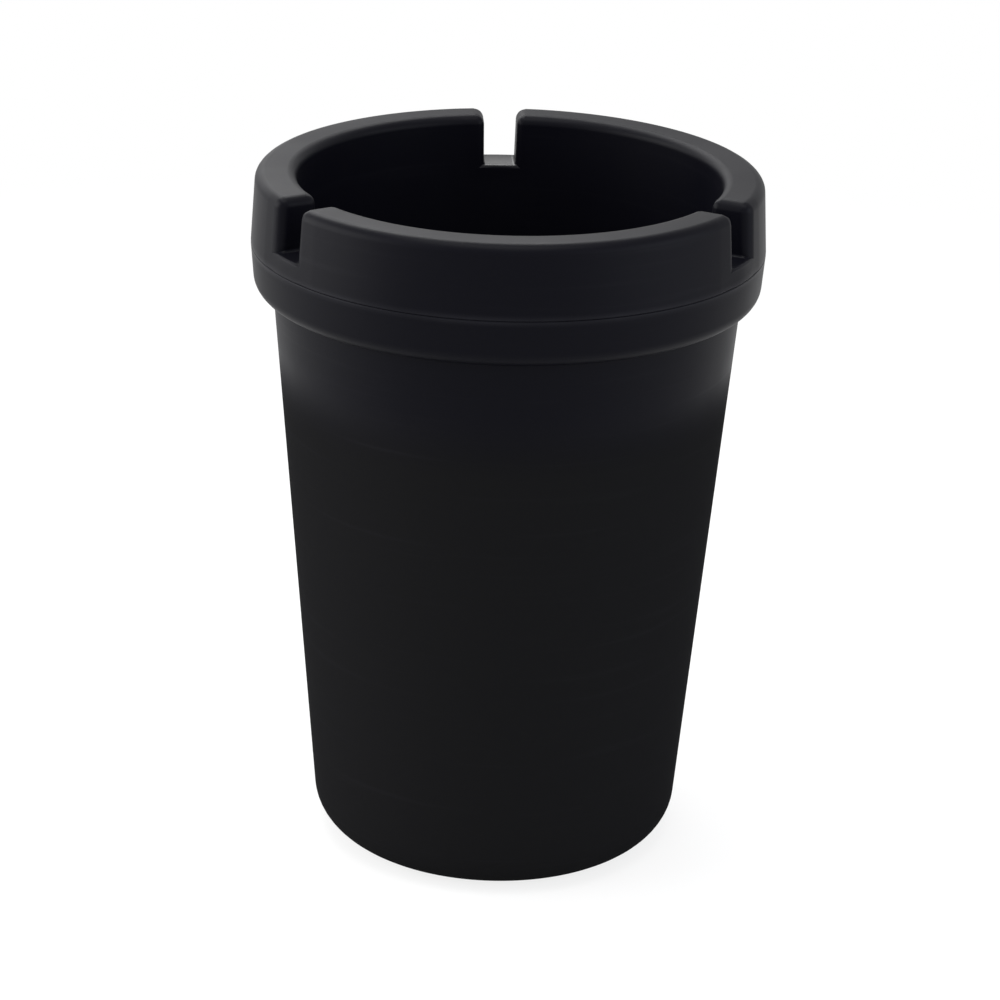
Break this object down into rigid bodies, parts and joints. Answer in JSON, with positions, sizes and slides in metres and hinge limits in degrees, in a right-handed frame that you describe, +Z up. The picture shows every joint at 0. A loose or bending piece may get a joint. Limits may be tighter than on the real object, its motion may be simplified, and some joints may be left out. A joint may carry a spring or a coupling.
{
  "type": "cup holder ashtray",
  "caption": "Tapered cup-shaped ashtray in black plastic with a collar, a lift-off notched rest ring and a snuffer funnel inside.",
  "frame": {"origin": "centre of the base, on the table plane", "axes": "+Z up along the cup's axis, +Y towards the back notch, -Y the front that the picture shows"},
  "size_m": [0.0826, 0.0826, 0.114],
  "materials": {
    "cup": "satin moulded",
    "rest_ring": "satin moulded",
    "snuffer_funnel": "matt moulded"
  },
  "bodies": {
    "cup_body": {"cup": "cup"},
    "ring_body": {"rest_ring": "rest_ring"},
    "funnel_body": {"snuffer_funnel": "snuffer_funnel"}
  },
  "joints": [
    {"name": "ring_lift", "type": "slide", "parent": "cup_body", "child": "ring_body", "axis": [0, 0, 1], "range_m": [0, 0.06]},
    {"name": "funnel_lift", "type": "slide", "parent": "ring_body", "child": "funnel_body", "axis": [0, 0, 1], "range_m": [0, 0.06]}
  ]
}
